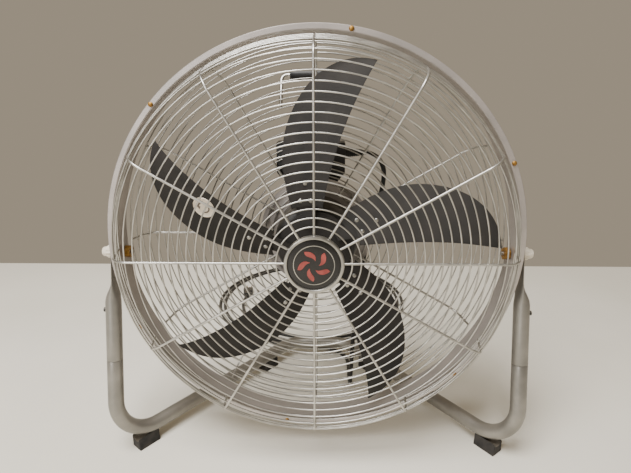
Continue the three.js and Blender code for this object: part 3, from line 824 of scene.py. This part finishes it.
# %% Motor
PLATE_FRONT = REAR_FACE + 2.5
BOX_FRONT = PLATE_FRONT + 2.4
MOTOR_BACK = 112
front_cup = [(14.4, 20), (44, 20), (50, 21.2), (55, 24), (57.4, 27.5), (58, 31), (58, 40), (57, 41), (57, 43)]
front_cup += [(58, 44), (58, 60), (58, PLATE_FRONT - GAP), (56, PLATE_FRONT - GAP)]
front_cup += [(56, 32), (52, 25), (46, 22), (14.4, 22)]
piece("motor_front_cover", *turned(front_cup), "black_enamel", "head", ["motor_front_shell"])
rear_end = [(0, 0), (20, 0), (22, 1.2), (30, 1.2), (32, 0), (46, 0.4), (53, 3), (57, 7.5), (58, 12)]
rear_cup = [(radius, MOTOR_BACK - depth) for radius, depth in rear_end]
for k in range(5):
    y = MOTOR_BACK - 14 - 4 * k
    rear_cup += [(58, y), (56.9, y - 0.6), (56.9, y - 2), (58, y - 2.6)]
rear_cup += [(58, BOX_FRONT), (56, BOX_FRONT)]
rear_cup += [(56, MOTOR_BACK - 12), (52, MOTOR_BACK - 5), (46, MOTOR_BACK - 2), (0, MOTOR_BACK - 2)]
piece("motor_rear_cover", *turned(rear_cup), "black_enamel", "head", ["motor_rear_shell"])

# %% [markdown]
# The switch box is moulded, so its corners are soft. Its knob has flutes for the fingers and a raised pointer.

# %% Switch box and knob
BOX_BACK = 108
LID_BACK = BOX_BACK + 2.6
box_outline = [(-38, 66), (22, 66), (42, 90), (42, 134), (-58, 134), (-58, 90)]
piece("moulded_switch_box", *prism(box_outline, BOX_FRONT, BOX_BACK), "black_plastic", "head", ["switch_box"], 2.4)
lid = prism(box_outline, BOX_BACK + GAP, LID_BACK)
piece("moulded_box_lid", *lid, "black_plastic", "head", ["switch_box_lid"], 0.8)
DIAL = (-8, 0, 110)


def fluted(profile, flutes, depth, centre, axis, segments=144):
    """A turned shape whose outer wall is waved by flutes. A profile entry's third value says how much."""
    points = []
    for i in range(segments):
        angle = math.tau * i / segments
        wave = depth * (0.5 - 0.5 * math.cos(flutes * angle))
        for radius, along, much in profile:
            r = radius - wave * much
            across = (r * math.cos(angle), r * math.sin(angle))
            x, y, z = (across[0], along, across[1]) if axis == "Y" else (along, across[0], across[1])
            points.append(at(centre[0] + x, centre[1] + y, centre[2] + z))
    return points, grid_faces(segments, len(profile), 0, True, True)


DIAL_FRONT, DIAL_BACK = BOX_BACK + 3.2, BOX_BACK + 19
dial_profile = [(0, DIAL_FRONT, 0), (17, DIAL_FRONT, 0), (17, DIAL_FRONT + 3.4, 0), (15.4, DIAL_FRONT + 4.8, 0.5)]
dial_profile += [(14, DIAL_FRONT + 5.8, 1), (13.4, DIAL_BACK - 1.4, 1), (12.2, DIAL_BACK, 0.5), (0, DIAL_BACK, 0)]
pointer = prism([(-9.3, 110), (-6.7, 110), (-7.1, 121.5), (-8.9, 121.5)], DIAL_BACK - 0.4, DIAL_BACK + 0.9)
piece(
    "speed_dial",
    *merged(fluted(dial_profile, 12, 1.6, DIAL, "Y"), pointer),
    "black_plastic",
    "speed_knob",
    ["speed_knob"],
)
marks = []
for k in range(4):
    angle = math.radians(90 - 45 * k)
    marks.append((DIAL[0] + 20.5 * math.cos(angle), LID_BACK + 0.1, DIAL[2] + 20.5 * math.sin(angle)))
grown(
    "dial_marks",
    marks,
    [],
    dome_tree,
    {"Radius": 1.3 * MM, "Height": 0.3, "Material": FINISHES["cream_plastic"]},
    "head",
)

# %% [markdown]
# The strain relief tapers and is ringed, so that the cord bends in a wide curve where it leaves the box.

# %% Strain relief
relief_profile = [(0, 42.4), (9, 42.4), (9, 47.4), (8, 48.6)]
for k in range(6):
    x, radius = 49.5 + 3 * k, 6.6 - 0.32 * k
    relief_profile += [(radius - 0.8, x), (radius, x + 0.5), (radius, x + 1.9), (radius - 0.8, x + 2.3)]
relief_profile += [(4.2, 68.3), (0, 68.3)]
piece(
    "ringed_strain_relief",
    *turned(relief_profile, 40, "X", (0, 94, 118)),
    "black_plastic",
    "head",
    ["cord_gland"],
)

# %% [markdown]
# The handle is a wire bow with a black sleeve pushed over it. The sleeve swells a little in the middle.

# %% Handle
HANDLE_Y, HANDLE_Z = 106, 227
bow_corners = [(-50, 77, 183), (-50, HANDLE_Y, HANDLE_Z), (50, HANDLE_Y, HANDLE_Z), (50, 77, 183)]
bow = bent(bow_corners, [9, 9], 1.5)
piece("handle_wire_bow", *round_tube(bow, 2.6, 14), "guard_wire", "head", ["handle_bow"], 0.3)
sleeve = [(3.1, -38), (6.6, -38), (7.6, -37)]
for k in range(15):
    x = -34.5 + 69 * k / 14
    sleeve.append((7.1 + 0.9 * math.cos(math.pi * x / 90) - (0.5 if k % 2 else 0), x))
sleeve += [(7.6, 37), (6.6, 38), (3.1, 38)]
piece("handle_sleeve", *turned(sleeve, 40, "X", (0, HANDLE_Y, HANDLE_Z)), "black_plastic", "head", ["handle_grip"])

# %% [markdown]
# A tilt knob on each side clamps the pivot. It is small, pale and fluted.

# %% Tilt knobs
for side, word in ((-1, "left"), (1, "right")):
    knob_profile = [(3.4, 288.6, 0), (8.6, 288.6, 0), (9, 289.2, 1), (9, 295, 1), (8.2, 296, 0.6), (7.1, 297, 0)]
    knob_profile += [(6.6, 300.8, 0), (5.6, 302, 0), (0, 302, 0), (0, 299.6, 0), (3.4, 299.6, 0)]
    profile = [(r, side * x, much) for r, x, much in knob_profile]
    piece(
        word + "_fluted_knob",
        *fluted(profile, 10, 1.2, TILT, "X", 100),
        "cream_plastic",
        word + "_knob",
        [word + "_tilt_knob"],
    )

# %% [markdown]
# The room is only a pale floor and a soft grey surround. Large soft lights keep the shadows weak.

# %% Floor and light
FLOOR_END = at(0, 768, 0).y
floor_mesh = bpy.data.meshes.new("floor")
floor_mesh.from_pydata(
    [(-4, -4, 0), (4, -4, 0), (4, FLOOR_END, 0), (-4, FLOOR_END, 0)], [], [(0, 1, 2, 3)]
)
floor = bpy.data.objects.new("floor", floor_mesh)
bpy.context.scene.collection.objects.link(floor)
floor_mesh.materials.append(finish("pale_floor", "#e2dccd", "#e8e2d4", 0.7, 0.0, 300, 4, 0.02))
world = bpy.data.worlds.new("surround")
bpy.context.scene.world = world
world.use_nodes = True
world.node_tree.nodes["Background"].inputs["Color"].default_value = linear("#b3a692")
world.node_tree.nodes["Background"].inputs["Strength"].default_value = 0.75


def soft_light(name, place, aim, size, power):
    data = bpy.data.lights.new(name, "AREA")
    data.size = size
    data.energy = power
    light = bpy.data.objects.new(name, data)
    bpy.context.scene.collection.objects.link(light)
    light.location = place
    light.rotation_euler = (Vector(aim) - Vector(place)).to_track_quat("-Z", "Y").to_euler()


soft_light("overhead", (-0.5, -0.9, 2.2), (0, 0.1, 0.1), 1.1, 88)
soft_light("front_fill", (-1.4, -2.2, 1.1), (0, 0, 0.3), 1.0, 34)
